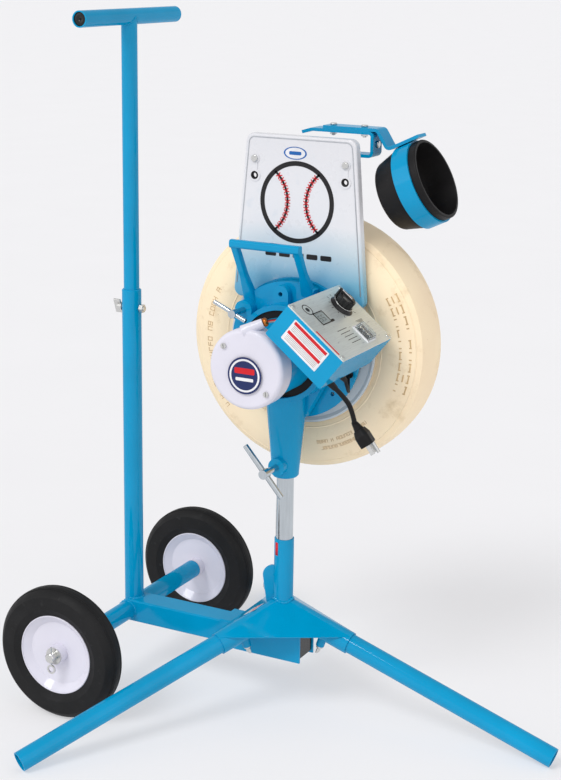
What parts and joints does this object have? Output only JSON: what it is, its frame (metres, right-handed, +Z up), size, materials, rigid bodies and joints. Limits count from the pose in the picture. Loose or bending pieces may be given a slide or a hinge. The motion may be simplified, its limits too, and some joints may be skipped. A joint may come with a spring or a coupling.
{
  "type": "baseball pitching machine",
  "caption": "Pitching machine: one motor-driven rubber wheel with feed chute, pressure pad and speed control box on a tilting, swivelling head over a tripod stand with a two-wheeled cart.",
  "frame": {"origin": "floor level, under the middle of the whole machine's box", "axes": "+Z up from the floor, +Y the way the ball is thrown, +X to the right of the operator who stands at -Y"},
  "size_m": [0.8304, 0.8712, 1.1107],
  "materials": {
    "blue_paint": "gloss",
    "zinc_steel": "satin",
    "polished_steel": "polished",
    "black_tyre": "matt",
    "cream_tyre": "matt",
    "white_enamel": "gloss",
    "silver_rim": "gloss",
    "white_plate": "gloss",
    "black_rubber": "matt",
    "dark_core": "matt",
    "silver_panel": "satin",
    "black_plastic": "gloss",
    "display_grey": "satin",
    "clear_cover": "gloss",
    "circuit_board": "matt"
  },
  "bodies": {
    "stand": {"socket_tube": "blue_paint", "hub_shell": "blue_paint", "hitch_channel": "blue_paint"},
    "leg_front": {"leg_front": "blue_paint"},
    "leg_left": {"leg_left": "blue_paint"},
    "leg_rear": {"leg_rear": "blue_paint"},
    "leg_screw_front": {"leg_screw_front": "zinc_steel"},
    "leg_screw_left": {"leg_screw_left": "zinc_steel"},
    "leg_screw_rear": {"leg_screw_rear": "zinc_steel"},
    "cart": {"cart_beam": "blue_paint", "axle_tube": "blue_paint", "axle_rod": "zinc_steel", "axle_clips": "zinc_steel", "mast_lower": "blue_paint", "mast_hex_screw": "zinc_steel"},
    "cart_wheel_left": {"cart_tyre_left": "black_tyre", "cart_rim_left": "white_enamel"},
    "cart_wheel_right": {"cart_tyre_right": "black_tyre", "cart_rim_right": "white_enamel"},
    "mast": {"mast_upper": "blue_paint", "tee_handle": "blue_paint"},
    "mast_wing_screw": {"mast_wing_screw": "zinc_steel"},
    "pole": {"pole": "polished_steel"},
    "yoke": {"yoke_casting": "blue_paint"},
    "clamp_screw": {"clamp_screw": "polished_steel", "clamp_bar": "polished_steel"},
    "tilt_screw": {"tilt_screw": "polished_steel", "tilt_bar": "polished_steel"},
    "head": {"head_plate": "blue_paint", "motor_shell": "blue_paint", "motor_seal": "black_rubber", "motor_cap": "white_enamel", "motor_magnets": "dark_core", "motor_bearings": "zinc_steel", "side_plate": "white_plate", "shoe_backing": "blue_paint", "shoe_pad": "black_rubber", "chute_base": "blue_paint", "chute_arm": "blue_paint", "chute_ring": "blue_paint", "chute_cup": "black_rubber", "bracket_bolts": "zinc_steel", "box_shell": "blue_paint", "box_panel": "silver_panel", "case_screws": "zinc_steel", "display_window": "display_grey", "control_board": "circuit_board", "switch_cover": "clear_cover", "strain_reliefs": "black_rubber", "lead_grommet": "black_rubber", "motor_lead": "black_rubber", "power_lead": "black_rubber", "power_plug": "black_rubber"},
    "drive_wheel": {"drive_shaft": "polished_steel", "armature": "dark_core", "drive_rim": "silver_rim", "drive_tyre": "cream_tyre", "hub_nut": "zinc_steel"},
    "speed_knob": {"speed_knob": "black_plastic"},
    "rocker_switch": {"rocker_switch": "black_plastic"}
  },
  "joints": [
    {"name": "leg_slide_front", "type": "slide", "parent": "stand", "child": "leg_front", "axis": [0, -0.95, -0.3123], "range_m": [0, 0.06]},
    {"name": "leg_screw_front_turn", "type": "hinge", "parent": "stand", "child": "leg_screw_front", "pos_m": [0, -0.04, 0.14364], "axis": [0, 0.3123, -0.95], "range_deg": [-180, 180]},
    {"name": "leg_slide_left", "type": "slide", "parent": "stand", "child": "leg_left", "axis": [-0.8227, 0.475, -0.3123], "range_m": [0, 0.06]},
    {"name": "leg_screw_left_turn", "type": "hinge", "parent": "stand", "child": "leg_screw_left", "pos_m": [-0.06755, 0.077, 0.14364], "axis": [0.2705, -0.1562, -0.95], "range_deg": [-180, 180]},
    {"name": "leg_slide_rear", "type": "slide", "parent": "stand", "child": "leg_rear", "axis": [0.8227, 0.475, -0.3123], "range_m": [0, 0.06]},
    {"name": "leg_screw_rear_turn", "type": "hinge", "parent": "stand", "child": "leg_screw_rear", "pos_m": [0.06755, 0.077, 0.14364], "axis": [-0.2705, -0.1562, -0.95], "range_deg": [-180, 180]},
    {"name": "cart_slide", "type": "slide", "parent": "stand", "child": "cart", "axis": [0, 1, 0], "range_m": [0, 0.14]},
    {"name": "cart_wheel_left_spin", "type": "hinge", "parent": "cart", "child": "cart_wheel_left", "pos_m": [-0.2177, 0.3253, 0.11], "axis": [1, 0, 0], "continuous": true},
    {"name": "cart_wheel_right_spin", "type": "hinge", "parent": "cart", "child": "cart_wheel_right", "pos_m": [0.2177, 0.3253, 0.11], "axis": [1, 0, 0], "continuous": true},
    {"name": "mast_slide", "type": "slide", "parent": "cart", "child": "mast", "axis": [0, 0, 1], "range_m": [-0.33, 0.05]},
    {"name": "mast_wing_screw_turn", "type": "hinge", "parent": "cart", "child": "mast_wing_screw", "pos_m": [0, 0.3433, 0.634], "axis": [0, 1, 0], "range_deg": [-180, 180]},
    {"name": "pole_lift", "type": "slide", "parent": "stand", "child": "pole", "axis": [0, 0, 1], "range_m": [0, 0.12]},
    {"name": "yoke_swivel", "type": "hinge", "parent": "pole", "child": "yoke", "pos_m": [0, 0.038, 0.45], "axis": [0, 0, 1], "range_deg": [-90, 90]},
    {"name": "clamp_screw_turn", "type": "hinge", "parent": "yoke", "child": "clamp_screw", "pos_m": [-0.05, 0.038, 0.415], "axis": [1, 0, 0], "range_deg": [-180, 180]},
    {"name": "tilt_screw_turn", "type": "hinge", "parent": "yoke", "child": "tilt_screw", "pos_m": [-0.03, 0.11, 0.657], "axis": [1, 0, 0], "range_deg": [-120, 120]},
    {"name": "head_tilt", "type": "hinge", "parent": "yoke", "child": "head", "pos_m": [0, 0.038, 0.597], "axis": [1, 0, 0], "range_deg": [-4, 45]},
    {"name": "drive_wheel_spin", "type": "hinge", "parent": "head", "child": "drive_wheel", "pos_m": [0.1, 0.038, 0.597], "axis": [1, 0, 0], "continuous": true},
    {"name": "speed_knob_turn", "type": "hinge", "parent": "head", "child": "speed_knob", "pos_m": [-0.0287, -0.06674, 0.68567], "axis": [0, -0.6225, 0.7826], "range_deg": [-135, 135]},
    {"name": "rocker_switch_rock", "type": "hinge", "parent": "head", "child": "rocker_switch", "pos_m": [-0.038, -0.10979, 0.65143], "axis": [1, 0, 0], "range_deg": [-8, 8]}
  ]
}
